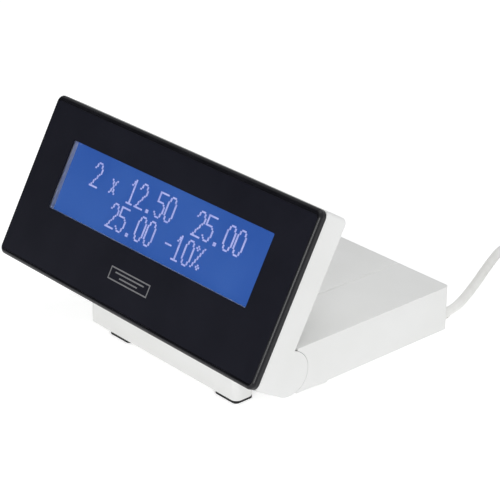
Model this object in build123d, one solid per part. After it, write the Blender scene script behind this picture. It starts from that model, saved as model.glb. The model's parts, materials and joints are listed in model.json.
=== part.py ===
from build123d import *
import math
import os

# Customer display: a tilting LCD head hinged on a flat base, standing on a small pedestal with
# rubber feet, with a lead to the till.  Millimetres, +Z up, front towards -Y.
# Two working frames are used below.
#   desk frame: X right, Y back from the lower edge of the face, Z up from the base's underside
#   head frame: x right, v up the face, w out of the face, from the middle of its lower edge
# Every piece is moved at the end so that the origin is the centre of the footprint on the desk.

# ---- driving dimensions
HEAD_W = 172.0          # width of the black front frame
FACE_H = 75.6           # height of the front frame along the face
TILT = 29.3             # the face leans back from upright by this at rest, degrees
FACE_Z = 10.05          # lower edge of the face above the base's underside
HEAD_T = 16.3           # front of the frame to the back of the head
FRAME_T = 3.2           # depth of the black frame
SHELL_INSET = 0.3       # the white shells stand this far inside the black frame
WALL = 2.0              # wall of the white shells
BASE_H = 20.0           # height of the base
BASE_REAR = 111.6       # rear wall of the base, behind the face's lower edge
PEDESTAL_H = 21.0       # height of the pedestal under the base
FOOT_H = 1.0            # how far the rubber feet stand out below the pedestal
WINDOW_W, WINDOW_H = 131.8, 31.5
WINDOW_X, WINDOW_V = 0.9, 43.7      # centre of the window on the face
AXIS_V, AXIS_W = 10.0, -17.9        # tilt hinge axis in the head frame
BARREL_R = 9.8          # round lower edge of the head
SEAM = 0.15             # gap between the barrel and its seat in the base
SHAFT_R = 3.0
RUNNING = 0.05          # radial clearance of a turning fit
FIT = 0.05              # clearance of a screw in its hole or a part in its pocket
CORD_D = 4.2
FACET_W, FACET_T = 1.15, 0.85   # facet round the front frame's edge: its width and its depth
FACET_R = 1.2           # round between the facet and the faces beside it
SCREW_R, SMALL_SCREW_R = 1.3, 1.0

# ---- derived dimensions
SHELL_X = HEAD_W / 2 - SHELL_INSET
SIN, COS = math.sin(math.radians(TILT)), math.cos(math.radians(TILT))
AXIS_Y = -AXIS_W * COS + AXIS_V * SIN
AXIS_Z = FACE_Z + AXIS_W * SIN + AXIS_V * COS
SEAT_R = BARREL_R + SEAM
HOLE_R, SMALL_HOLE_R = SCREW_R + FIT, SMALL_SCREW_R + FIT
DESK_Z = -(PEDESTAL_H + FOOT_H)
# The round between the face and its lower facet is the foremost part.
FACET_SETBACK = FACET_R * math.tan(math.atan2(FACET_T, FACET_W) / 2)
FRONT_Y = FACET_R * COS + (FACET_W + FACET_SETBACK) * SIN - FACET_R
MID_Y = (FRONT_Y + BASE_REAR) / 2
HEAD = Location(Plane(origin=(0, 0, FACE_Z), x_dir=(1, 0, 0), z_dir=(0, -COS, SIN)))
TO_ORIGIN = Location((0, -MID_Y, -DESK_Z))

nodes = {}


def add(name, *solids, frame=None):
    """Keep the solids as one node, moved into the object's frame."""
    place = TO_ORIGIN * frame if frame else TO_ORIGIN
    moved = [place * solid for shape in solids for solid in shape.solids()]
    nodes[name] = Compound(children=moved) if len(moved) > 1 else moved[0]


def block(x, y, z, radius=0.0, along=Axis.Z):
    """A box between two corners, its edges along one axis rounded."""
    box = Pos(sum(x) / 2, sum(y) / 2, sum(z) / 2) * Box(x[1] - x[0], y[1] - y[0], z[1] - z[0])
    return fillet(box.edges().filter_by(along), radius) if radius else box


def rod(centre, radius, length, axis=Axis.Z):
    """A cylinder that starts at a point and runs along an axis."""
    turn = {Axis.X: (0, 90, 0), Axis.Y: (-90, 0, 0), Axis.Z: (0, 0, 0)}[axis]
    align = (Align.CENTER, Align.CENTER, Align.MIN)
    return Pos(*centre) * Rot(*turn) * Cylinder(radius, length, align=align)


def ring(centre, outer, inner, length, axis=Axis.Z):
    return rod(centre, outer, length, axis) - rod(centre, inner, length, axis)


def prism_x(face, x):
    """A flat shape in Y and Z, carried along X."""
    return Pos(x[0], 0, 0) * extrude(Plane.YZ * face, x[1] - x[0])


def mirrored(shape):
    return mirror(shape, Plane.YZ)


def both_sides(shapes):
    """The shapes and their mirror images."""
    return [*shapes, *(mirrored(shape) for shape in shapes)]


def screw(length, shank=SCREW_R, head=2.4, head_h=1.5):
    """A pan-head screw that points down, its head standing on the plane z = 0."""
    body = rod((0, 0, -length), shank, length) + rod((0, 0, 0), head, head_h)
    body = fillet(body.faces().sort_by(Axis.Z)[-1].edges(), 0.4)
    for turn in (0, 90):
        body -= Pos(0, 0, head_h) * Rot(0, 0, turn) * Box(2.6, 0.6, 1.4)
    return body


def tube(points, radius, radii):
    """A round tube along straight runs joined by tangent arcs."""
    path = FilletPolyline(*points, radius=radii)
    start = Plane(origin=path @ 0, z_dir=path % 0)
    return sweep(start * Circle(radius), path=path)


# ---- head: front frame, panel and display module (head frame)

RIM_SIDE, RIM_TOP, RIM_BOTTOM = 1.3, 2.5, 2.1
PANEL_X = (-HEAD_W / 2 + RIM_SIDE, HEAD_W / 2 - RIM_SIDE)
PANEL_V = (RIM_BOTTOM, FACE_H - RIM_TOP)
PANEL_T = 0.7
LENS_T = 0.8
LCD_W = -3.6            # the picture surface
MODULE_X, MODULE_V = 149.0, 46.0
BOARD_W = (-10.8, -9.2)


def around_window(extra_x, extra_v, w, radius=0.0):
    """A block centred on the window and larger than it by the extra on each side."""
    half_x, half_v = WINDOW_W / 2 + extra_x, WINDOW_H / 2 + extra_v
    x = (WINDOW_X - half_x, WINDOW_X + half_x)
    v = (WINDOW_V - half_v, WINDOW_V + half_v)
    return block(x, v, w, radius)


def front_frame():
    """The black frame: a rounded rim with a ledge behind the panel, open over the display module."""
    frame = block((-HEAD_W / 2, HEAD_W / 2), (0, FACE_H), (-FRAME_T, 0), 3.4)
    front = frame.faces().sort_by(Axis.Z)[-1]
    frame = chamfer(front.edges(), FACET_W, FACET_T, reference=front)
    loops = frame.faces().sort_by(Axis.Z)[-1].edges()
    loops += frame.edges().filter_by(lambda e: abs(e.center().Z + FACET_T) < 0.01 and
                                     abs(e.bounding_box().size.Z) < 0.01)
    frame = fillet(loops, FACET_R)
    frame -= block(PANEL_X, PANEL_V, (-PANEL_T - 0.05, 1), 2.2)
    frame -= around_window(5.0, 5.0, (-5, 0), 1.0)
    return frame - block((-80, 80), (5, 70.5), (-FRAME_T - 1, -2.2), 2.0)


FRAME_POSTS = [(x, v) for x in (-79, 79) for v in (26, 66)]
POST_TOP = -8.0


def build_front():
    frame = front_frame()
    for x, v in FRAME_POSTS:
        frame += rod((x, v, POST_TOP), 2.8, -POST_TOP - 2.2)
        frame -= rod((x, v, POST_TOP), HOLE_R, 4.5)
    add("front_bezel", frame, frame=HEAD)

    inner = [(PANEL_X[0] + 0.12, PANEL_X[1] - 0.12), (PANEL_V[0] + 0.12, PANEL_V[1] - 0.12)]
    panel = block(*inner, (-PANEL_T, -0.1), 2.0) - around_window(0, 0, (-2, 1), 0.6)
    add("front_panel", panel, frame=HEAD)

    lens = around_window(4.8, 4.8, (-PANEL_T - LENS_T, -PANEL_T - 0.05), 0.9)
    add("window_lens", lens, frame=HEAD)

    gasket = around_window(4.6, 4.6, (-2.5, -1.55), 0.9) - around_window(1.8, 1.8, (-4, 0), 0.5)
    add("window_gasket", gasket, frame=HEAD)


def module(extra, w, radius=0.0):
    """A block with the outline of the display module, smaller by the extra on each side."""
    half_x, half_v = MODULE_X / 2 - extra, MODULE_V / 2 - extra
    x = (WINDOW_X - half_x, WINDOW_X + half_x)
    v = (WINDOW_V - half_v, WINDOW_V + half_v)
    return block(x, v, w, radius)


def build_display_module():
    frame = module(0, (-8.9, -2.55), 1.0) + around_window(1.5, 1.5, (-3, -1.6), 0.5)
    frame -= around_window(0, 0, (-5, 0), 0.4)
    frame -= module(0.8, (-10, LCD_W))
    add("lcd_frame", frame, frame=HEAD)
    add("lcd_glass", module(1.6, (LCD_W - 2.2, LCD_W - 0.02)), frame=HEAD)

    guide_w = (-8.6, LCD_W - 2.3)
    guide = module(1.6, guide_w) - block((70, 80), (0, 80), (-12, -5))
    add("light_guide", guide, frame=HEAD)
    lights = [block((70.6, 73.4), (v - 2, v + 2), (-8.6, -6.2)) for v in (26, 34, 43.7, 53, 61)]
    add("backlight_leds", *lights, frame=HEAD)

    board = block((-75.2, 75.4), (15.6, 71.8), BOARD_W, 1.0)
    for x, v in BOARD_HOLES:
        board -= rod((x, v, -12), HOLE_R, 4)
    add("lcd_board", board, frame=HEAD)
    chips = [block((x - 5, x + 5), (38, 48), (-12.1, -10.82), 0.3) for x in (-46, -18, 16)]
    chips += [block((x - 3, x + 3), (54, 58), (-12.1, -10.82), 0.3) for x in (-46, 34)]
    add("lcd_driver_chips", *chips, frame=HEAD)
    socket = block((2, 14), (21, 27), (-14.1, -10.82)) - block((3, 13), (20, 26), (-13.6, -11.4))
    add("lcd_socket", socket, frame=HEAD)
    heads = [Pos(x, v, BOARD_W[1] + 0.02) * screw(4.4, SCREW_R, 2.1, 1.0) for x, v in BOARD_HOLES]
    add("lcd_board_screws", *heads, frame=HEAD)


BOARD_HOLES = [(x, v) for x in (-72.0, 72.4) for v in (18.4, 69.2)]


# ---- head: rear shell (head frame)

SHELL_V = (SHELL_INSET, FACE_H - SHELL_INSET)
SLOT_MARGIN = 24.0              # half the angle that a bracket's neck needs in the barrel
BRACKET_X = (62.0, 64.0)
ARM_X = (66.6, 68.6)
ARM_DEEP = 2.8
FLANGE_T = 1.6
LEAD_X = 30.0                   # the display lead enters the barrel here
ARM_SCREWS = [(x, 36.0) for x in (72.0, 77.0)]


def shell_profile(inset):
    """Side outline of the head shell, drawn in v and w: a slab with a round lower edge."""
    slab = Pos((sum(SHELL_V)) / 2, -(HEAD_T + FRAME_T) / 2) * Rectangle(
        SHELL_V[1] - SHELL_V[0] - 2 * inset, HEAD_T - FRAME_T - 2 * inset)
    top_back = [slab.vertices().sort_by(Axis.X)[-1], slab.vertices().sort_by(Axis.X)[-2]]
    slab = fillet(min(top_back, key=lambda p: p.Y), 3.0 - inset)
    barrel = Pos(AXIS_V, AXIS_W) * Circle(BARREL_R - inset)
    foot = Pos(AXIS_V / 2 + (SHELL_INSET + inset) / 2, (AXIS_W - FRAME_T - inset) / 2) * Rectangle(
        AXIS_V - SHELL_INSET - inset, -AXIS_W - FRAME_T - inset)
    return slab + barrel + foot


def barrel_slot(x):
    """A cutter for a slot in the back of the barrel, over the angles that the tilt needs."""
    start, end = TILT + SLOT_MARGIN, -SLOT_MARGIN
    reach = BARREL_R + 4
    steps = [start + (end - start) * i / 4 for i in range(5)]
    fan = [(AXIS_V, AXIS_W)]
    fan += [(AXIS_V + reach * math.sin(math.radians(a)), AXIS_W - reach * math.cos(math.radians(a)))
            for a in steps]
    return prism_x(make_face(Polyline(*fan, close=True)), x)


def head_rear_shell():
    shell = prism_x(shell_profile(0), (-SHELL_X, SHELL_X))
    rear_edges = shell.edges().filter_by(Axis.Y).group_by(Axis.Z)[0]
    shell = fillet(rear_edges, 1.2)
    hollow = prism_x(shell_profile(WALL), (-SHELL_X + WALL, SHELL_X - WALL))
    mouth = block((-SHELL_X + WALL, SHELL_X - WALL), (SHELL_V[0] + WALL, SHELL_V[1] - WALL),
                  (-FRAME_T - WALL - 0.5, 0))
    shell -= hollow + mouth
    for side in (1, -1):
        low, high = BRACKET_X[0] - 2.4, BRACKET_X[1] + 0.5
        slot = barrel_slot((low, high))
        shell -= slot if side > 0 else mirrored(slot)
    shell -= barrel_slot((LEAD_X - 2.4, LEAD_X + 2.4))
    floor = -HEAD_T + WALL
    for x, v in BOARD_HOLES:
        shell += ring((x, v, floor - 0.1), 3.0, HOLE_R, BOARD_W[0] - floor + 0.1)
    for x, v in FRAME_POSTS:
        shell += rod((x, v, floor - 0.1), 3.2, POST_TOP - floor + 0.05)
        shell -= rod((x, v, -HEAD_T - 1), HOLE_R, 10) + rod((x, v, -HEAD_T - 1), 2.8, 4.4)
    for side in (1, -1):
        for x, v in ARM_SCREWS:
            shell -= rod((side * x, v, floor - 1.4), SMALL_HOLE_R, 4)
    return shell


def build_head_shell():
    add("head_rear_shell", head_rear_shell(), frame=HEAD)
    seat = -HEAD_T + 3.4 - 0.02
    screws = [Pos(x, v, seat) * Rot(180, 0, 0) * screw(6.5) for x, v in FRAME_POSTS]
    add("head_shell_screws", *screws, frame=HEAD)


# ---- hinges

def hinge_arm():
    """Steel arm of the head: an eye on the shaft and a flange screwed to the rear shell."""
    eye = Pos(AXIS_V, AXIS_W) * Circle(5.6)
    low = -HEAD_T + WALL + 0.02
    stem = Pos((AXIS_V + 40) / 2, low + ARM_DEEP / 2) * Rectangle(40 - AXIS_V, ARM_DEEP)
    web = make_face(Polyline((AXIS_V - 2, AXIS_W), (AXIS_V + 5.6, AXIS_W), (AXIS_V + 6.7, low),
                             (AXIS_V + 6.7, low + ARM_DEEP), (AXIS_V - 2, low + ARM_DEEP), close=True))
    arm = prism_x(eye + stem + web, ARM_X)
    arm += block((ARM_X[0], 80.0), (31.5, 40), (low, low + FLANGE_T), 0.5)
    arm -= rod((ARM_X[0] - 1, AXIS_V, AXIS_W), SHAFT_R, 4, Axis.X)
    for x, v in ARM_SCREWS:
        arm -= rod((x, v, low - 1), SMALL_HOLE_R, 4)
    return arm


def hinge_bracket():
    """Steel bracket of the base: an eye round the shaft, a neck and a foot screwed down."""
    eye = Pos(AXIS_Y, AXIS_Z) * Circle(5.6)
    neck = Pos((AXIS_Y + 44) / 2, AXIS_Z) * Rectangle(44 - AXIS_Y, 5.6)
    web = Pos(45, (4.2 + 12.8) / 2) * Rectangle(16, 12.8 - 4.2)
    plate = prism_x(eye + neck + web, BRACKET_X)
    plate += block((50, BRACKET_X[1]), (37, 53), (4.2, 6.2), 0.5)
    plate -= rod((BRACKET_X[0] - 1, AXIS_Y, AXIS_Z), SHAFT_R + RUNNING, 4, Axis.X)
    for y in BRACKET_SCREW_Y:
        plate -= rod((BRACKET_SCREW_X, y, 2), HOLE_R, 6)
    return plate


BRACKET_SCREW_X = 54.5
BRACKET_SCREW_Y = (41.0, 49.0)
AXIAL_PLAY = 0.05


def build_hinges():
    arm, bracket = hinge_arm(), hinge_bracket()
    axis_point = (AXIS_Y, AXIS_Z)
    shaft = rod((56.4, *axis_point), SHAFT_R, ARM_X[1] - 56.4, Axis.X)
    shaft += rod((ARM_X[1], *axis_point), 5.0, 1.8, Axis.X)
    low = BRACKET_X[0] - AXIAL_PLAY
    washers = [ring((low - 0.5 * (i + 1), *axis_point), 5.2 - 0.4 * (i % 2), SHAFT_R + FIT, 0.44, Axis.X)
               for i in range(4)]
    spacer = ring((BRACKET_X[1] + AXIAL_PLAY, *axis_point), 5.0, SHAFT_R + FIT,
                  ARM_X[0] - BRACKET_X[1] - 2 * AXIAL_PLAY, Axis.X)
    nut_face = Pos(*axis_point) * RegularPolygon(4.6, 6)
    nut = prism_x(nut_face, (low - 4.8, low - 2.1)) - rod((50, *axis_point), SHAFT_R + FIT, 15, Axis.X)
    flange_top = -HEAD_T + WALL + FLANGE_T + 0.04
    arm_screws = [Pos(x, v, flange_top) * screw(2.8, SMALL_SCREW_R, 1.9, 1.0) for x, v in ARM_SCREWS]
    for side, flip in (("right", lambda s: s), ("left", mirrored)):
        add(f"hinge_arm_{side}", flip(arm), frame=HEAD)
        add(f"hinge_bracket_{side}", flip(bracket))
        add(f"hinge_shaft_{side}", flip(shaft))
        add(f"hinge_washers_{side}", *[flip(w) for w in washers], flip(spacer))
        add(f"hinge_nut_{side}", flip(nut))
    add("hinge_arm_screws", *both_sides(arm_screws), frame=HEAD)
    feet = [Pos(BRACKET_SCREW_X, y, 6.22) * screw(5.0) for y in BRACKET_SCREW_Y]
    add("hinge_bracket_screws", *both_sides(feet))


# ---- base shells (desk frame)

LIP_Y = (24.9, 23.8)            # front ends of the base's lips, above and below the barrel
PLATEAU_X = 55.8                # half width of the raised middle of the base's top
PLATEAU_H = 0.4
FLOOR_T = 2.0
REAR_R = 1.0                    # round of the base's upper and lower rear edges
CORNER_R, INNER_CORNER_R = 3.2, 0.3     # upright rear corners, outside and inside
SIDE_WALL = 2.2
COVER_SCREWS = [(-76, 44), (76, 44), (-76, 100), (66, 100)]
BOARD_X, BOARD_Y, BOARD_Z = (-58.0, 48.0), (56.0, 104.0), (7.0, 8.6)
MAIN_HOLES = [(x, y) for x in (-54, 44) for y in (60, 100)]
GLAND_X, GLAND_Z, GLAND_R = 80.4, 3.9, 2.8
FLANGE_EDGE = 0.2               # the gland's inner flange stands out this far all round


def base_profile():
    """Side outline of the base: a slab whose front is hollowed out round the barrel."""
    slab = Pos((24.3 + BASE_REAR) / 2, BASE_H / 2) * Rectangle(BASE_REAR - 24.3, BASE_H)
    slab = fillet(slab.vertices().sort_by(Axis.X)[-2:], REAR_R)
    slab -= Pos(AXIS_Y, AXIS_Z) * Circle(SEAT_R)
    slab -= Pos(LIP_Y[0] - 5, BASE_H) * Rectangle(10, 6)
    return slab - Pos(LIP_Y[1] - 5, 0) * Rectangle(10, 6)


def base_top_cover():
    plan = block((-SHELL_X, SHELL_X), (0, BASE_REAR), (-1, BASE_H + 1), CORNER_R)
    cover = prism_x(base_profile(), (-SHELL_X, SHELL_X)) & plan
    plateau = block((-PLATEAU_X, PLATEAU_X), (26.5, BASE_REAR - REAR_R), (BASE_H - 1, BASE_H + PLATEAU_H))
    plateau = chamfer(plateau.faces().sort_by(Axis.Z)[-1].edges(), 0.25)
    cover += plateau
    x_in = SHELL_X - SIDE_WALL
    inside = block((-x_in, x_in), (26, BASE_REAR - WALL), (-1, BASE_H - WALL), INNER_CORNER_R)
    inside -= rod((-90, AXIS_Y, AXIS_Z), SEAT_R + WALL, 180, Axis.X)
    cover -= inside
    for side in (1, -1):
        x = (BRACKET_X[0] - 0.4, BRACKET_X[1] + 0.4)
        notch = block(x, (24, 36), (AXIS_Z - 3.2, AXIS_Z + 3.2))
        cover -= notch if side > 0 else mirrored(notch)
    cover -= block((LEAD_X - 2.2, LEAD_X + 2.2), (24, 36), (AXIS_Z - 2.2, AXIS_Z + 2.2))
    for x, y in COVER_SCREWS:
        post = rod((x, y, FLOOR_T + 2.5), 3.4, BASE_H - WALL - FLOOR_T - 2.4)
        cover += post - rod((x, y, 2), HOLE_R, 10)
    gland = rod((GLAND_X, BASE_REAR - 6, GLAND_Z), GLAND_R + FIT, 8, Axis.Y)
    return cover - gland


def base_bottom_cover():
    """The floor of the base, with posts for the board, the hinge brackets and the cover."""
    y_front = 30.4
    x_in = SHELL_X - SIDE_WALL - FIT
    floor = block((-x_in, x_in), (y_front, BASE_REAR - WALL - FIT), (0, FLOOR_T), 2.2)
    for x, y in MAIN_HOLES:
        floor += rod((x, y, FLOOR_T - 0.5), 3.0, BOARD_Z[0] - FLOOR_T + 0.48)
        floor -= rod((x, y, FLOOR_T), HOLE_R, 10)
    for side in (1, -1):
        for y in BRACKET_SCREW_Y:
            floor += rod((side * BRACKET_SCREW_X, y, FLOOR_T - 0.5), 3.0, 2.68)
            floor -= rod((side * BRACKET_SCREW_X, y, 0.8), HOLE_R, 6)
    for x, y in COVER_SCREWS:
        floor += rod((x, y, FLOOR_T - 0.5), 3.4, 2.95)
        floor -= rod((x, y, -1), HOLE_R, 8) + rod((x, y, -1), 2.6, 3.0)
    for x, y in STAND_SCREWS:
        floor += rod((x, y, FLOOR_T - 0.5), 3.0, 3.5)
        floor -= rod((x, y, -1), HOLE_R, 5.2)
    for x, y in CLAMP_SCREWS:
        floor += rod((x, y, FLOOR_T - 0.5), 2.6, 3.1)
        floor -= rod((x, y, 1), SMALL_HOLE_R, 8)
    return floor - rod((GLAND_X, BASE_REAR - 8, GLAND_Z), GLAND_R + FLANGE_EDGE + 0.3, 8, Axis.Y)


STAND_SCREWS = [(x, y) for x in (-24, 24) for y in (38, 84)]
CLAMP_Y = (84.0, 89.0)
CLAMP_SCREWS = [(GLAND_X - 6.4, 86.5)]


def build_base_shells():
    add("base_top_cover", base_top_cover())
    add("base_bottom_cover", base_bottom_cover())
    screws = [Pos(x, y, 1.98) * Rot(180, 0, 0) * screw(9.0) for x, y in COVER_SCREWS]
    add("base_cover_screws", *screws)


# ---- electronics in the base (desk frame)

def build_electronics():
    board = block(BOARD_X, BOARD_Y, BOARD_Z, 1.0)
    for x, y in MAIN_HOLES:
        board -= rod((x, y, 5), HOLE_R, 6)
    add("main_board", board)
    top = BOARD_Z[1] + 0.02
    add("main_board_screws", *[Pos(x, y, top) * screw(5.5) for x, y in MAIN_HOLES])
    add("controller_chip", block((-20, -8), (78, 90), (top, top + 1.4), 0.3))
    parts = [block((x, x + 4), (y, y + 2.4), (top, top + 1.0)) for x in (-44, -36, 2, 10) for y in (66, 94)]
    add("board_components", *parts)
    add("filter_capacitors", *[rod((x, 92, top), 3.1, 6.4) for x in (24, 33)])
    socket = block((36, 46), (72, 78), (top, top + 4)) - block((37, 47), (73, 77), (top + 1, top + 3.2))
    add("cord_socket", socket)
    header = block((24, 36), (57, 63), (top, top + 4)) - block((25, 35), (56, 62), (top + 1, top + 3.2))
    add("lead_socket", header)


def build_display_lead():
    """The display lead runs into the barrel, along the hinge axis, and up to the display."""
    r = 1.5
    z = BOARD_Z[1] + 2.1
    base_part = tube([(LEAD_X, 56.9, z), (LEAD_X, 42, z), (LEAD_X, 34, AXIS_Z), (LEAD_X, AXIS_Y, AXIS_Z),
                      (LEAD_X - 12, AXIS_Y, AXIS_Z)], r, [8, 8, 4])
    add("display_lead_base", base_part)
    x = LEAD_X - 12.05
    mid = -12.5
    head_part = tube([(x, AXIS_V, AXIS_W), (8, AXIS_V, AXIS_W), (8, 15.5, mid), (8, 20.9, mid)],
                     r, [3.2, 3.2])
    add("display_lead_head", head_part, frame=HEAD)


# ---- cord: gland, clamp, tube, coil and plug (desk frame)

CORD_LOW = DESK_Z + CORD_D / 2          # centre of a cord that lies on the desk
INNER_R = CORD_D / 2 - 0.6              # the lead inside the base, without its jacket
CLAMP_FOOT, CLAMP_TAB_TOP, CLAMP_TOP = 4.62, 6.1, 9.0
GLAND_END = BASE_REAR + 4.0
COIL_X, COIL_Y = 88.0, 206.0
COIL_OUTER, COIL_PITCH, COIL_TURNS = 32.6, 4.3, 4
COIL_INNER = COIL_OUTER - COIL_PITCH * COIL_TURNS
ROUTE = [
    (GLAND_X, BASE_REAR, GLAND_Z), (GLAND_X, 120.5, GLAND_Z), (75.0, 133.8, GLAND_Z),
    (68.2, 147.5, 3.3), (60.2, 162.0, 2.2), (51.6, 178.0, 0.7), (43.0, 194.0, -2.2), (37.5, 209.5, -8.0),
    (39.0, 224.0, -15.4), (51.0, 234.2, CORD_LOW), (69.0, 239.2, CORD_LOW),
    (COIL_X, COIL_Y + COIL_OUTER, CORD_LOW),
]
TAIL = [
    (111.0, 229.0, -15.2), (121.0, 218.0, -13.8), (122.0, 204.5, -11.4), (112.5, 195.5, -9.2),
    (99.0, 195.5, -9.2),
]


def largest_radii(points):
    """The radius of each corner: 0.45 of its shorter run, over the tangent of half its turn."""
    radii = []
    for a, b, c in zip(points, points[1:], points[2:]):
        first, second = Vector(*b) - Vector(*a), Vector(*c) - Vector(*b)
        half_turn = math.radians(first.get_angle(second)) / 2
        radii.append(0.45 * min(first.length, second.length) / math.tan(half_turn))
    return radii


def cord_clamp():
    """A bridge over the inner lead, with a tab that is screwed down beside it."""
    through = (CLAMP_Y[0] - 4, CLAMP_Y[1] + 4)
    bridge = block((GLAND_X - 9, GLAND_X + 3), CLAMP_Y, (CLAMP_FOOT, CLAMP_TOP), 0.5)
    bridge -= block((GLAND_X - 1.6, GLAND_X + 1.6), through, (CLAMP_FOOT - 1, GLAND_Z + INNER_R + 0.05))
    bridge -= block((GLAND_X - 10, GLAND_X - 3.6), through, (CLAMP_TAB_TOP, CLAMP_TOP + 1))
    return bridge - rod((*CLAMP_SCREWS[0], 2), SMALL_HOLE_R, 8)


def build_cord():
    inside = BASE_REAR - WALL
    gland = rod((GLAND_X, inside - 1.6, GLAND_Z), GLAND_R + FLANGE_EDGE, 1.5, Axis.Y)
    gland += rod((GLAND_X, inside - 0.1, GLAND_Z), GLAND_R, WALL + 0.1, Axis.Y)
    relief = Pos(GLAND_X, BASE_REAR, GLAND_Z) * Rot(-90, 0, 0) * Cone(
        GLAND_R, 2.5, GLAND_END - BASE_REAR, align=(Align.CENTER, Align.CENTER, Align.MIN))
    gland += relief - block((GLAND_X - 4, GLAND_X + 4), (BASE_REAR + 1.6, BASE_REAR + 2.4),
                            (GLAND_Z - 1.2, GLAND_Z - 0.4))
    gland -= rod((GLAND_X, BASE_REAR - 6, GLAND_Z), CORD_D / 2 + FIT, GLAND_END - BASE_REAR + 7, Axis.Y)
    add("strain_relief", gland)

    inner = tube([(GLAND_X, BASE_REAR - 0.1, GLAND_Z), (GLAND_X, 80, GLAND_Z), (66, 68, 8),
                  (54, 75, BOARD_Z[1] + 2.1), (46.2, 75, BOARD_Z[1] + 2.1)], INNER_R, [9, 7, 7])
    add("cord_inner_lead", inner)
    add("cord_clamp", cord_clamp())
    seat = CLAMP_TAB_TOP + 0.02
    add("cord_clamp_screw", Pos(*CLAMP_SCREWS[0], seat) * screw(4.0, SMALL_SCREW_R, 1.9, 1.0))

    radii = largest_radii(ROUTE)
    print("cord radii", [round(r, 1) for r in radii])
    cord = tube(ROUTE, CORD_D / 2, radii)
    print("tube length", cord.volume / (math.pi * (CORD_D / 2) ** 2))
    add("cord_tube", cord)
    middle = (COIL_X, COIL_Y, DESK_Z)
    coil = ring(middle, COIL_OUTER + CORD_D / 2 + 0.2, COIL_INNER - CORD_D / 2 - 0.2, 2 * COIL_PITCH + 0.2)
    add("cord_coil", coil)
    tail_radii = largest_radii(TAIL)
    print("tail radii", [round(r, 1) for r in tail_radii])
    add("cord_tail", tube(TAIL, CORD_D / 2, tail_radii))


def build_plug():
    x, y, z = TAIL[-1]
    body = block((x - 28, x), (y - 7.5, y + 7.5), (z - 4, z + 4), 2.5)
    body = fillet(body.faces().filter_by(Axis.Z).edges(), 1.0)
    add("plug_overmold", body)
    shell = block((x - 47, x - 28.02), (y - 6, y + 6), (z - 2.25, z + 2.25), 0.4, Axis.X)
    shell -= block((x - 48, x - 29), (y - 5.6, y + 5.6), (z - 1.85, z + 1.85))
    add("plug_shell", shell)
    add("plug_insert", block((x - 46, x - 29.02), (y - 5.5, y + 5.5), (z - 0.05, z + 1.8)))


# ---- pedestal and feet (desk frame)

BAR_X, BAR_Y = (-53.3, 47.2), (25.7, 36.2)  # front bar, longer on the left
WING_FRONT, WING_REAR = 57.3, 59.5          # half widths of the side wings at their two ends
WING_Y = (49.0, 68.6)
SPINE_X, SPINE_Y = (-32.0, 32.0), (30.0, 96.0)      # middle block
STAND_Z = (-PEDESTAL_H, -0.05)
STAND_EDGE_R = 0.3                          # its lower edge
PEDESTAL_R = 3.0                            # its upright corners
PLATE_T = 2.8
PLATE_RECESS = 1.7                          # the plate's screw heads lie this deep
PLATE_POSTS = [(x, y) for x in (-26, 26) for y in (52, 90)]
FLANGE_R = 2.2                              # four holes for M4 screws from a pole flange
FLANGE_HOLES = [(x, y) for x in (-14, 14) for y in (44, 72)]
FEET = {
    "front_left": ((-39.4, -25.0), (25.8, 34.4)),
    "front_right": ((32.8, 47.0), (25.8, 35.9)),
    "side_left": ((-54.5, -43.0), (51.0, 66.0)),
    "side_right": ((43.0, 54.5), (51.0, 66.0)),
    "rear_left": ((-31.0, -19.0), (86.0, 95.0)),
    "rear_right": ((19.0, 31.0), (86.0, 95.0)),
}


def pedestal_outline(inset=0.0):
    """Front bar, side wings and middle block, all drawn in by the inset."""
    wing_front, wing_rear = (-WING_FRONT, WING_FRONT), (-WING_REAR, WING_REAR)
    parts = [(BAR_X, BAR_X, BAR_Y), (wing_front, wing_rear, WING_Y), (SPINE_X, SPINE_X, SPINE_Y)]
    shape = Sketch()
    for front_x, rear_x, (front, rear) in parts:
        corners = [(front_x[0] + inset, front + inset), (front_x[1] - inset, front + inset),
                   (rear_x[1] - inset, rear - inset), (rear_x[0] + inset, rear - inset)]
        part = make_face(Polyline(*corners, close=True))
        shape += fillet(part.vertices(), PEDESTAL_R - inset)
    return shape


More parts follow.
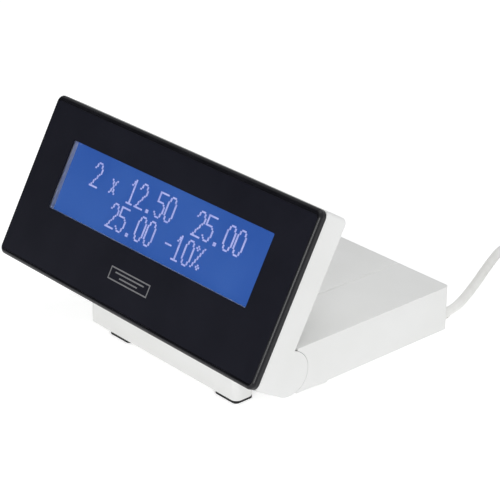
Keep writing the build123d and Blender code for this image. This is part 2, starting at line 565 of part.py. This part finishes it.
def build_pedestal():
    outer = Pos(0, 0, STAND_Z[0]) * extrude(pedestal_outline(), STAND_Z[1] - STAND_Z[0])
    outer = fillet(outer.faces().sort_by(Axis.Z)[0].edges(), STAND_EDGE_R)
    hollow = Pos(0, 0, STAND_Z[0] - 1) * extrude(pedestal_outline(WALL), STAND_Z[1] - STAND_Z[0] - WALL + 1)
    shell = outer - hollow
    for x, y in STAND_SCREWS:
        shell -= rod((x, y, -5), HOLE_R, 6)
    for x, y in PLATE_POSTS:
        post_low = STAND_Z[0] + PLATE_T + 0.02
        shell += rod((x, y, post_low), 3.0, STAND_Z[1] - 1 - post_low)
        shell -= rod((x, y, STAND_Z[0]), HOLE_R, 10)
    add("stand_shell", shell)
    under_top = STAND_Z[1] - WALL - 0.02
    add("stand_screws", *[Pos(x, y, under_top) * Rot(180, 0, 0) * screw(5.0) for x, y in STAND_SCREWS])

    plate = Pos(0, 0, STAND_Z[0]) * extrude(pedestal_outline(WALL + FIT), PLATE_T)
    for x, y in PLATE_POSTS:
        plate -= rod((x, y, -30), HOLE_R, 20)
        plate -= rod((x, y, STAND_Z[0] - 1), 2.6, 1 + PLATE_RECESS)
    for x, y in FLANGE_HOLES:
        plate -= rod((x, y, -30), FLANGE_R, 20)
    add("stand_bottom_plate", plate)
    head_z = STAND_Z[0] + PLATE_RECESS - 0.02
    screws = [Pos(x, y, head_z) * Rot(180, 0, 0) * screw(7.0) for x, y in PLATE_POSTS]
    add("stand_plate_screws", *screws)
    ballast = block((-20, 20), (54, 80), (-15, -2.2), 2.0)
    add("ballast_block", ballast)
    for name, (x, y) in FEET.items():
        add(f"foot_{name}", block(x, y, (-PEDESTAL_H - FOOT_H, -PEDESTAL_H - 0.02), 2.0))


build_front()
build_display_module()
build_head_shell()
build_hinges()
build_base_shells()
build_electronics()
build_display_lead()
build_cord()
build_plug()
build_pedestal()

os.makedirs("parts", exist_ok=True)
for name, shape in nodes.items():
    export_step(shape, f"parts/{name}.step")
print(len(nodes), "nodes")
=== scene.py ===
import json
import math

import bmesh
import bpy
from mathutils import Matrix, Vector


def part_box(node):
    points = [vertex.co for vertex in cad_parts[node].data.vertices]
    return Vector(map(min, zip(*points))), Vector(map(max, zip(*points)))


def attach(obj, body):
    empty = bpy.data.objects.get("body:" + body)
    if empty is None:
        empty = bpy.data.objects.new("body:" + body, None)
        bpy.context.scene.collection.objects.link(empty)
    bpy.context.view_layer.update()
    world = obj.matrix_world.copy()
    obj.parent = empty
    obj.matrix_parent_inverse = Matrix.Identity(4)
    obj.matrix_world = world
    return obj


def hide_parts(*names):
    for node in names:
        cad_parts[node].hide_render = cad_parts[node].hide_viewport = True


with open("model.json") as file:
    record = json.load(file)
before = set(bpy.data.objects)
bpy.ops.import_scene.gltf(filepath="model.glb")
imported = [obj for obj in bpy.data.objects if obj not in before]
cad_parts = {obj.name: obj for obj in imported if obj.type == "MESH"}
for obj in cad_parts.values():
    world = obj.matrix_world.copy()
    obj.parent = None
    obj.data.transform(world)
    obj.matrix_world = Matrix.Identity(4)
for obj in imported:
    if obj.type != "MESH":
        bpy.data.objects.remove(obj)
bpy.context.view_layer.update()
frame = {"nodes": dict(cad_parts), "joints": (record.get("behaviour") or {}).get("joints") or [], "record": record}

MM = 0.001

# ---- the head's own axes: x along the width, v up the face, w out of the face
TILT_JOINT = next(j for j in frame["joints"] if j["name"] == "display_tilt")
TILT = math.radians(TILT_JOINT["range_deg"][1])     # how far the face leans back at rest
AXIS_V, AXIS_W = 10.0 * MM, -17.9 * MM              # the tilt axis in the head's axes
UP_FACE = Vector((0, math.sin(TILT), math.cos(TILT)))
OUT_OF_FACE = Vector((0, -math.cos(TILT), math.sin(TILT)))
FACE_ORIGIN = Vector(TILT_JOINT["pos_m"]) - AXIS_V * UP_FACE - AXIS_W * OUT_OF_FACE
HEAD_AXES = Matrix((
    (1, 0, 0, FACE_ORIGIN.x),
    (0, UP_FACE.y, OUT_OF_FACE.y, FACE_ORIGIN.y),
    (0, UP_FACE.z, OUT_OF_FACE.z, FACE_ORIGIN.z),
    (0, 0, 0, 1),
))

# ---- the desk frame of the CAD script: X right, Y back from the face's lower edge, Z up from the base
BASE_REAR = 111.6                                       # rear wall of the base in the desk frame
MID_Y = BASE_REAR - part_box("base_top_cover")[1][1] / MM     # middle of the footprint
DESK_Z = -22.0                                          # the surface the object stands on


def desk(x, y, z):
    """A point of the CAD script's desk frame, in millimetres, as a point of the row frame."""
    return Vector((x, y - MID_Y, z - DESK_Z)) * MM


# ---- material building blocks

def new_material(name):
    """An empty node material with its shader; returns the material, its tree and the shader."""
    material = bpy.data.materials.new(name)
    material.use_nodes = True
    tree = material.node_tree
    return material, tree, tree.nodes["Principled BSDF"]


def coordinates(tree, stretch=(1, 1, 1)):
    """Object coordinates in metres, scaled along each axis."""
    source = tree.nodes.new("ShaderNodeTexCoord")
    mapping = tree.nodes.new("ShaderNodeMapping")
    mapping.inputs["Scale"].default_value = stretch
    tree.links.new(source.outputs["Object"], mapping.inputs["Vector"])
    return mapping.outputs["Vector"]


def noise(tree, coords, size, detail=3.0):
    """Noise whose features are about that size, in metres."""
    node = tree.nodes.new("ShaderNodeTexNoise")
    node.inputs["Scale"].default_value = 1 / size
    node.inputs["Detail"].default_value = detail
    tree.links.new(coords, node.inputs["Vector"])
    return node.outputs["Fac"]


def ranged(tree, value, low, high, start=0.35, end=0.65):
    """A value carried from one range to another, clamped."""
    node = tree.nodes.new("ShaderNodeMapRange")
    for socket, number in (("From Min", start), ("From Max", end), ("To Min", low), ("To Max", high)):
        node.inputs[socket].default_value = number
    tree.links.new(value, node.inputs["Value"])
    return node.outputs["Result"]


MIX_FACTOR, MIX_FIRST, MIX_SECOND, MIX_RESULT = 0, 6, 7, 2      # a Mix node's sockets for colours


def mixed(tree, factor, first, second):
    """A colour between two, which may be sockets or plain colours."""
    node = tree.nodes.new("ShaderNodeMix")
    node.data_type = "RGBA"
    for socket, colour in ((node.inputs[MIX_FIRST], first), (node.inputs[MIX_SECOND], second)):
        if isinstance(colour, bpy.types.NodeSocket):
            tree.links.new(colour, socket)
        else:
            socket.default_value = (*colour, 1)
    tree.links.new(factor, node.inputs[MIX_FACTOR])
    return node.outputs[MIX_RESULT]


def combined(tree, operation, first, second):
    """Two values, sockets or plain numbers, joined by a Math node."""
    node = tree.nodes.new("ShaderNodeMath")
    node.operation = operation
    for socket, value in zip(node.inputs, (first, second)):
        if isinstance(value, bpy.types.NodeSocket):
            tree.links.new(value, socket)
        else:
            socket.default_value = value
    return node.outputs[0]


def add_bump(tree, shader, height, distance):
    node = tree.nodes.new("ShaderNodeBump")
    node.inputs["Distance"].default_value = distance
    node.inputs["Strength"].default_value = 1.0
    tree.links.new(height, node.inputs["Height"])
    tree.links.new(node.outputs["Normal"], shader.inputs["Normal"])


def finish_of(name, dark, light, rough, grain, relief, blotch=0.02, metallic=0.0, gloss=0.5,
              stretch=(1, 1, 1), coat=0.0):
    """A moulded, cast, rolled or rubber surface: two close colours in blotches, a fine grain that
    stands up by the relief and changes the roughness between its two values."""
    material, tree, shader = new_material(name)
    coords = coordinates(tree, stretch)
    fine = noise(tree, coords, grain, 4.0)
    broad = noise(tree, coords, blotch, 2.0)
    tree.links.new(mixed(tree, ranged(tree, broad, 0, 1), dark, light), shader.inputs["Base Color"])
    fine_share = combined(tree, "MULTIPLY", fine, 0.6)
    both = combined(tree, "ADD", fine_share, combined(tree, "MULTIPLY", broad, 0.4))
    tree.links.new(ranged(tree, both, *rough), shader.inputs["Roughness"])
    shader.inputs["Metallic"].default_value = metallic
    shader.inputs["Specular IOR Level"].default_value = gloss
    shader.inputs["Coat Weight"].default_value = coat
    shader.inputs["Coat Roughness"].default_value = 0.15
    add_bump(tree, shader, fine, relief)
    return material


# ---- plain finishes, one for each of the record's slots that needs no pattern of its own

def plain_finishes():
    grain = 0.35 * MM
    return {
        "shell_white": finish_of("shell_white", (0.79, 0.79, 0.775), (0.82, 0.82, 0.81), (0.42, 0.56),
                                 grain, 0.012 * MM, 0.03, gloss=0.4),
        "black_frame": finish_of("black_frame", (0.004, 0.004, 0.006), (0.008, 0.008, 0.011), (0.2, 0.3),
                                 0.25 * MM, 0.003 * MM, gloss=0.3),
        "foam": finish_of("foam", (0.02, 0.02, 0.02), (0.035, 0.035, 0.035), (0.85, 1.0),
                          0.4 * MM, 0.1 * MM),
        "grey_metal": finish_of("grey_metal", (0.52, 0.53, 0.55), (0.66, 0.66, 0.68), (0.35, 0.5),
                                0.3 * MM, 0.004 * MM, metallic=0.2),
        "light_guide": finish_of("light_guide", (0.82, 0.83, 0.85), (0.9, 0.9, 0.9), (0.2, 0.3),
                                 0.5 * MM, 0.002 * MM),
        "led_white": finish_of("led_white", (0.85, 0.8, 0.5), (0.95, 0.9, 0.65), (0.25, 0.35),
                               0.5 * MM, 0.002 * MM),
        "chip_black": finish_of("chip_black", (0.012, 0.012, 0.013), (0.025, 0.025, 0.027), (0.45, 0.65),
                                0.15 * MM, 0.01 * MM),
        "socket_white": finish_of("socket_white", (0.74, 0.72, 0.64), (0.82, 0.8, 0.74), (0.35, 0.5),
                                  0.3 * MM, 0.005 * MM),
        "screw_steel": finish_of("screw_steel", (0.55, 0.56, 0.58), (0.72, 0.72, 0.72), (0.2, 0.4),
                                 0.3 * MM, 0.004 * MM, 0.004, metallic=1.0),
        "lead_black": finish_of("lead_black", (0.015, 0.015, 0.016), (0.03, 0.03, 0.03), (0.5, 0.65),
                                0.3 * MM, 0.006 * MM),
        "capacitor": finish_of("capacitor", (0.03, 0.04, 0.1), (0.05, 0.06, 0.14), (0.3, 0.4),
                               0.4 * MM, 0.003 * MM, coat=0.3),
        "cord_white": finish_of("cord_white", (0.80, 0.79, 0.76), (0.86, 0.855, 0.83), (0.42, 0.58),
                                0.6 * MM, 0.02 * MM, 0.012, gloss=0.45),
        "plug_metal": finish_of("plug_metal", (0.62, 0.62, 0.63), (0.78, 0.78, 0.79), (0.16, 0.3),
                                0.4 * MM, 0.003 * MM, 0.005, metallic=1.0),
        "plate_grey": finish_of("plate_grey", (0.6, 0.6, 0.59), (0.68, 0.68, 0.67), (0.5, 0.65),
                                grain, 0.02 * MM),
        "ballast_iron": finish_of("ballast_iron", (0.06, 0.06, 0.065), (0.14, 0.13, 0.12), (0.6, 0.85),
                                  0.8 * MM, 0.08 * MM, metallic=0.8),
        "foot_rubber": finish_of("foot_rubber", (0.008, 0.008, 0.009), (0.018, 0.018, 0.018), (0.6, 0.8),
                                 0.4 * MM, 0.03 * MM, gloss=0.3),
        "hinge_steel": finish_of("hinge_steel", (0.42, 0.43, 0.45), (0.62, 0.62, 0.64), (0.25, 0.45),
                                 0.4 * MM, 0.006 * MM, metallic=1.0, stretch=(1, 0.08, 1)),
    }


# ---- finishes with a pattern of their own

def panel_finish():
    """A matte black printed sheet: a fine sandy grain and a bluish cast."""
    material, tree, shader = new_material("black_panel")
    coords = coordinates(tree)
    sand = noise(tree, coords, 0.18 * MM, 2.0)
    cloud = noise(tree, coords, 25 * MM, 2.0)
    colour = mixed(tree, ranged(tree, cloud, 0, 1), (0.0045, 0.0048, 0.0105), (0.007, 0.0073, 0.0140))
    tree.links.new(mixed(tree, ranged(tree, sand, 0, 0.35, 0.55, 0.75), colour, (0.022, 0.023, 0.031)),
                   shader.inputs["Base Color"])
    tree.links.new(ranged(tree, sand, 0.36, 0.5), shader.inputs["Roughness"])
    shader.inputs["Specular IOR Level"].default_value = 0.22
    add_bump(tree, shader, sand, 0.006 * MM)
    return material


def lens_finish():
    """Clear acrylic with a faint hard-coat haze."""
    material, tree, shader = new_material("clear")
    coords = coordinates(tree)
    haze = noise(tree, coords, 12 * MM, 2.0)
    tree.links.new(ranged(tree, haze, 0.01, 0.04), shader.inputs["Roughness"])
    shader.inputs["Base Color"].default_value = (0.97, 0.98, 1.0, 1)
    shader.inputs["Transmission Weight"].default_value = 1.0
    shader.inputs["IOR"].default_value = 1.3
    shader.inputs["Specular IOR Level"].default_value = 0.3
    return material


DOT_PITCH_X, DOT_PITCH_V = 0.785, 0.8       # pitch of the display's dots, in millimetres
DOT_GAP = 0.05                              # mortar size that draws the gap between them


def dot_grid(tree):
    """1 in the thin gaps between the display's dots, from the piece's own coordinates."""
    source = tree.nodes.new("ShaderNodeTexCoord")
    bricks = tree.nodes.new("ShaderNodeTexBrick")
    bricks.offset = 0.0
    bricks.inputs["Scale"].default_value = 1 / MM
    bricks.inputs["Mortar Size"].default_value = DOT_GAP
    bricks.inputs["Mortar Smooth"].default_value = 0.3
    bricks.inputs["Brick Width"].default_value = DOT_PITCH_X
    bricks.inputs["Row Height"].default_value = DOT_PITCH_V
    tree.links.new(source.outputs["Object"], bricks.inputs["Vector"])
    return bricks.outputs["Fac"]


def lcd_finish():
    """The lit blue ground of the display: a faint dot grid over an uneven backlight."""
    material, tree, shader = new_material("lcd_ground")
    glow = noise(tree, coordinates(tree), 45 * MM, 1.0)
    ground = mixed(tree, ranged(tree, glow, 0, 1), (0.022, 0.082, 0.34), (0.032, 0.105, 0.38))
    lit = mixed(tree, dot_grid(tree), ground, (0.034, 0.12, 0.42))
    tree.links.new(lit, shader.inputs["Emission Color"])
    shader.inputs["Emission Strength"].default_value = 1.0
    unlit = mixed(tree, glow, (0.004, 0.01, 0.05), (0.006, 0.014, 0.06))
    tree.links.new(unlit, shader.inputs["Base Color"])
    tree.links.new(ranged(tree, glow, 0.3, 0.4), shader.inputs["Roughness"])
    return material


def lit_dot_finish():
    material, tree, shader = new_material("lcd_lit_dots")
    glow = noise(tree, coordinates(tree), 3 * MM, 2.0)
    lit = mixed(tree, ranged(tree, glow, 0, 1), (0.31, 0.35, 0.68), (0.41, 0.44, 0.75))
    tree.links.new(lit, shader.inputs["Emission Color"])
    shader.inputs["Emission Strength"].default_value = 1.0
    shader.inputs["Base Color"].default_value = (0.1, 0.1, 0.2, 1)
    tree.links.new(ranged(tree, glow, 0.3, 0.45), shader.inputs["Roughness"])
    return material


def ink_finish():
    """Silver-grey printing ink."""
    material, tree, shader = new_material("silver_ink")
    coords = coordinates(tree)
    flake = noise(tree, coords, 0.12 * MM, 2.0)
    tree.links.new(mixed(tree, ranged(tree, flake, 0, 1), (0.2, 0.2, 0.21), (0.36, 0.36, 0.37)),
                   shader.inputs["Base Color"])
    tree.links.new(ranged(tree, flake, 0.35, 0.55), shader.inputs["Roughness"])
    shader.inputs["Metallic"].default_value = 0.4
    return material


def board_finish():
    """Green solder mask over copper tracks."""
    material, tree, shader = new_material("board_green")
    coords = coordinates(tree)
    tracks = tree.nodes.new("ShaderNodeTexBrick")
    tracks.inputs["Scale"].default_value = 1 / MM
    tracks.inputs["Brick Width"].default_value = 9.0
    tracks.inputs["Row Height"].default_value = 1.6
    tracks.inputs["Mortar Size"].default_value = 0.12
    tree.links.new(coords, tracks.inputs["Vector"])
    cloud = ranged(tree, noise(tree, coords, 6 * MM), 0, 1)
    ground = mixed(tree, cloud, (0.006, 0.07, 0.022), (0.01, 0.1, 0.03))
    printed = mixed(tree, tracks.outputs["Fac"], ground, (0.03, 0.2, 0.06))
    tree.links.new(printed, shader.inputs["Base Color"])
    tree.links.new(ranged(tree, noise(tree, coords, 0.5 * MM), 0.25, 0.4), shader.inputs["Roughness"])
    add_bump(tree, shader, tracks.outputs["Fac"], 0.03 * MM)
    return material


finishes = plain_finishes()
finishes["black_panel"] = panel_finish()
finishes["clear"] = lens_finish()
finishes["board_green"] = board_finish()
finishes["lcd_blue"] = lcd_finish()
INK = ink_finish()
LIT = lit_dot_finish()


def dress_cad_nodes():
    """Each CAD node takes the finish of its own slot in the record."""
    for part in frame["record"]["subparts"]:
        node = frame["nodes"][part["node"]]
        node.data.materials.clear()
        node.data.materials.append(finishes[part["material_slot"]])


# ---- mesh pieces on the head, built in the head's own axes

def add_bar(mesh, x, v, w):
    """A box between two corners, in millimetres of the head's axes."""
    size = Vector((x[1] - x[0], v[1] - v[0], w[1] - w[0])) * MM
    middle = Vector((sum(x), sum(v), sum(w))) * (MM / 2)
    bmesh.ops.create_cube(mesh, size=1, matrix=Matrix.Translation(middle) @ Matrix.Diagonal((*size, 1)))


def head_piece(name, mesh, material, bevel=0.0):
    """A mesh piece in the head's axes, riding on the head."""
    data = bpy.data.meshes.new(name)
    mesh.to_mesh(data)
    mesh.free()
    data.materials.append(material)
    piece = bpy.data.objects.new(name, data)
    bpy.context.scene.collection.objects.link(piece)
    piece.matrix_world = HEAD_AXES
    if bevel:
        modifier = piece.modifiers.new("edges", "BEVEL")
        modifier.width = bevel * MM
        modifier.segments = 2
    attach(piece, "head")
    return piece


WINDOW_X, WINDOW_V = 0.9, 43.7          # middle of the window on the face
WINDOW_W, WINDOW_H = 131.8, 31.5
PICTURE_W = -3.6                        # the picture surface, behind the face
FILM_T = 0.04
FILM_MARGIN = 0.06                      # kept free between the film and the window's edge
FILM_BEVEL = 0.015


def build_lcd_film():
    """The polarizer over the display glass, which carries the blue ground."""
    mesh = bmesh.new()
    half_x, half_v = WINDOW_W / 2 - FILM_MARGIN, WINDOW_H / 2 - FILM_MARGIN
    add_bar(mesh, (WINDOW_X - half_x, WINDOW_X + half_x), (WINDOW_V - half_v, WINDOW_V + half_v),
            (PICTURE_W, PICTURE_W + FILM_T))
    head_piece("lcd_film", mesh, finishes["lcd_blue"], FILM_BEVEL)


# Each character is drawn with straight strokes on a grid of dots, 0 to 6 across and 0 to 13 up.
STROKES = {
    "0": [[(2, 0), (4, 0), (6, 3), (6, 10), (4, 13), (2, 13), (0, 10), (0, 3), (2, 0)]],
    "1": [[(1, 10), (3, 13), (3, 0)], [(1, 0), (5, 0)]],
    "2": [[(0, 10), (2, 13), (4, 13), (6, 10), (6, 8), (0, 0), (6, 0)]],
    "5": [[(6, 13), (0, 13), (0, 8), (4, 8), (6, 6), (6, 3), (4, 0), (2, 0), (0, 2)]],
    "x": [[(1, 1), (5, 8)], [(1, 8), (5, 1)]],
    ".": [[(2, 0), (3, 0)], [(2, 1), (3, 1)]],
    "-": [[(1, 6), (5, 6)]],
    "%": [[(0, 1), (6, 12)],
          [(0, 11), (1, 12), (2, 11), (1, 10), (0, 11)],
          [(4, 2), (5, 3), (6, 2), (5, 1), (4, 2)]],
    " ": [],
}
LINES = (("2 x 12.50  25.00", 44.1), ("25.00 -10%", 31.3))   # text and the height of its lowest dots
CELL_DOTS = 8
DOT_W, DOT_H = 1.0, 0.76        # a lit dot bleeds a little sideways
DOT_SUNK, DOT_PROUD = 0.01, 0.02        # how far a dot goes into the film and stands out of it


def stroke_dots(start, end):
    """The grid dots along a straight stroke."""
    across, up = end[0] - start[0], end[1] - start[1]
    steps = max(abs(across), abs(up))
    return {(round(start[0] + across * i / steps), round(start[1] + up * i / steps))
            for i in range(steps + 1)}


def character_dots(letter):
    dots = set()
    for stroke in STROKES[letter]:
        for start, end in zip(stroke, stroke[1:]):
            dots |= stroke_dots(start, end)
    return sorted(dots)


def build_lcd_dots():
    """The lit dots of two centred lines of figures, a hair above the blue ground."""
    mesh = bmesh.new()
    low = PICTURE_W + FILM_T
    for text, base in LINES:
        left = WINDOW_X - len(text) * CELL_DOTS * DOT_PITCH_X / 2
        for place, letter in enumerate(text):
            for across, up in character_dots(letter):
                x = left + (place * CELL_DOTS + across + 0.5) * DOT_PITCH_X
                v = base + up * DOT_PITCH_V
                add_bar(mesh, (x, x + DOT_W), (v, v + DOT_H), (low - DOT_SUNK, low + DOT_PROUD))
    head_piece("lcd_lit_dots", mesh, LIT)


MARK_V = (12.6, 18.3)                   # lower and upper edge of the printed mark on the face
MARK_HALF, MARK_LINE = 13.0, 0.55       # half its width, and the width of its outline
MARK_BARS = ((3.5, 9.5), (1.7, 6.0))    # how far up the mark each bar starts, and half its width
MARK_BAR_H = 0.6
PANEL_FACE = -0.1                       # the panel's front, just behind the face
INK_T, INK_SUNK = 0.03, 0.01            # how far the ink stands out of the panel and goes into it


def build_mark():
    """A plain printed sign of a two-line display: an outline with two bars."""
    mesh = bmesh.new()
    w = (PANEL_FACE - INK_SUNK, PANEL_FACE + INK_T)
    low, high = MARK_V
    half, line = MARK_HALF, MARK_LINE
    for v in ((low, low + line), (high - line, high)):
        add_bar(mesh, (-half, half), v, w)
    for x in ((-half, -half + line), (half - line, half)):
        add_bar(mesh, x, (low + line, high - line), w)
    for up, reach in MARK_BARS:
        add_bar(mesh, (-reach, reach), (low + up, low + up + MARK_BAR_H), w)
    head_piece("printed_mark", mesh, INK)


# ---- the cord: a given route from the gland to the coil, the coil's turns, and the end with the plug

CORD_R = 2.1 * MM
LOW_Z = -19.9                               # middle of a cord that lies on the desk
ROUTE = [
    (80.4, 111.6, 3.9), (80.4, 120.5, 3.9), (75.0, 133.8, 3.9), (68.2, 147.5, 3.3),
    (60.2, 162.0, 2.2), (51.6, 178.0, 0.7), (43.0, 194.0, -2.2), (37.5, 209.5, -8.0),
    (39.0, 224.0, -15.4), (51.0, 234.2, LOW_Z), (69.0, 239.2, LOW_Z),
]
TAIL = [(121.0, 218.0, -13.8), (122.0, 204.5, -11.4), (112.5, 195.5, -9.2), (99.0, 195.5, -9.2)]
COIL_X, COIL_Y = 88.0, 206.0
COIL_OUTER, COIL_PITCH = 32.6, 4.3
LAYER_TURNS, LAST_TURNS = 4, 0.125          # turns of one layer, and how much the second goes on
RISE_TURNS = 0.25                           # the part of a turn in which the cord climbs a layer
PER_TURN = 16                               # points of the spline in each turn
PULL_IN = math.cos(math.pi / PER_TURN)      # the spline runs inside its points by this share


def coil_points():
    """The turns: in along the lower layer, up one layer at the inside, and out along the upper one."""
    points = []
    total = 2 * LAYER_TURNS + LAST_TURNS
    for i in range(int(total * PER_TURN) + 1):
        turns = i / PER_TURN
        inward = min(turns, 2 * LAYER_TURNS - turns)
        radius = (COIL_OUTER - COIL_PITCH * inward) / PULL_IN
        angle = math.radians(90) - turns * 2 * math.pi
        rise = min(1.0, max(0.0, (turns - LAYER_TURNS) / RISE_TURNS + 0.5))
        points.append((COIL_X + radius * math.cos(angle), COIL_Y + radius * math.sin(angle),
                       LOW_Z + COIL_PITCH * rise))
    return points


def build_cord():
    curve = bpy.data.curves.new("cord", "CURVE")
    curve.dimensions = "3D"
    curve.bevel_depth = CORD_R
    curve.bevel_resolution = 4
    curve.use_fill_caps = True
    curve.resolution_u = 6
    points = [desk(*p) for p in ROUTE + coil_points() + TAIL]
    spline = curve.splines.new("NURBS")
    spline.points.add(len(points) - 1)
    for point, place in zip(spline.points, points):
        point.co = (*place, 1)
    spline.order_u = 3
    spline.use_endpoint_u = True
    curve.materials.append(finishes["cord_white"])
    cord = bpy.data.objects.new("cord", curve)
    bpy.context.scene.collection.objects.link(cord)
    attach(cord, "base")
    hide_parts("cord_tube", "cord_coil", "cord_tail")


# ---- stage: floor, light and camera

FLOOR_HALF = 6.0            # half the floor's width, in metres


def build_floor():
    material, tree, shader = new_material("floor")
    tint = noise(tree, coordinates(tree), 0.4, 1.0)
    tree.links.new(mixed(tree, tint, (0.90, 0.90, 0.90), (0.93, 0.93, 0.93)), shader.inputs["Base Color"])
    shader.inputs["Roughness"].default_value = 0.9
    shader.inputs["Specular IOR Level"].default_value = 0.1
    shader.inputs["Emission Color"].default_value = (1, 1, 1, 1)
    shader.inputs["Emission Strength"].default_value = 0.4
    mesh = bmesh.new()
    bmesh.ops.create_grid(mesh, x_segments=1, y_segments=1, size=FLOOR_HALF)
    data = bpy.data.meshes.new("floor")
    mesh.to_mesh(data)
    mesh.free()
    data.materials.append(material)
    floor = bpy.data.objects.new("floor", data)
    bpy.context.scene.collection.objects.link(floor)


LIGHT_TARGET = Vector((0, 0, 40)) * MM      # the point that the lights look at


def add_light(name, azimuth, elevation, distance, size, power):
    """A square soft light that looks at the object from a direction, given as the camera's is:
    angles in degrees, distance and size in metres, power in watts."""
    a, e = math.radians(azimuth), math.radians(elevation)
    back = Vector((math.sin(a) * math.cos(e), -math.cos(a) * math.cos(e), math.sin(e)))
    data = bpy.data.lights.new(name, "AREA")
    data.size = size
    data.energy = power
    light = bpy.data.objects.new(name, data)
    light.location = LIGHT_TARGET + back * distance
    light.rotation_euler = (-back).to_track_quat("-Z", "Y").to_euler()
    bpy.context.scene.collection.objects.link(light)


DARK_SIDE = (-0.682, -0.671, 0.290)     # the dark end of the studio, which the black panel mirrors
BRIGHT, DIM = 0.70, 0.06                # strength of the studio, and of its dark end
DIM_FROM, DIM_TO = 0.55, 0.95           # cosine of the angle to DARK_SIDE where dimming starts, ends


def build_world():
    """A bright studio that dims towards one side."""
    world = bpy.data.worlds.new("studio")
    world.use_nodes = True
    tree = world.node_tree
    ground = tree.nodes["Background"]
    ground.inputs["Color"].default_value = (0.98, 0.99, 1.0, 1)
    source = tree.nodes.new("ShaderNodeTexCoord")
    towards = tree.nodes.new("ShaderNodeVectorMath")
    towards.operation = "DOT_PRODUCT"
    towards.inputs[1].default_value = DARK_SIDE
    tree.links.new(source.outputs["Generated"], towards.inputs[0])
    strength = ranged(tree, towards.outputs["Value"], BRIGHT, DIM, DIM_FROM, DIM_TO)
    tree.links.new(strength, ground.inputs["Strength"])
    bpy.context.scene.world = world


def build_lights():
    build_world()
    add_light("key", 36, 20, 1.8, 0.4, 3.8)
    add_light("front_fill", 0, 5, 1.8, 0.8, 5.2)
    add_light("overhead", 150, 82, 1.5, 1.0, 4.0)


CAMERA_AT = Vector((573.87, -483.55, 393.69)) * MM
CAMERA_AZIMUTH, CAMERA_ELEVATION, CAMERA_ROLL = 48.809, 24.911, 0.063
CAMERA_LENS = 137.94


def build_camera():
    data = bpy.data.cameras.new("camera")
    data.lens = CAMERA_LENS
    data.sensor_width = 36.0
    data.clip_start, data.clip_end = 0.01, 20.0
    camera = bpy.data.objects.new("camera", data)
    a, e = math.radians(CAMERA_AZIMUTH), math.radians(CAMERA_ELEVATION)
    back = Vector((math.sin(a) * math.cos(e), -math.cos(a) * math.cos(e), math.sin(e)))
    turn = (-back).to_track_quat("-Z", "Y").to_matrix().to_4x4()
    roll = Matrix.Rotation(math.radians(CAMERA_ROLL), 4, "Z")
    camera.matrix_world = Matrix.Translation(CAMERA_AT) @ turn @ roll
    bpy.context.scene.collection.objects.link(camera)
    bpy.context.scene.camera = camera
    bpy.context.scene.view_settings.view_transform = "Standard"


build_camera()
build_lights()
build_floor()
dress_cad_nodes()
build_cord()
build_lcd_film()
build_lcd_dots()
build_mark()
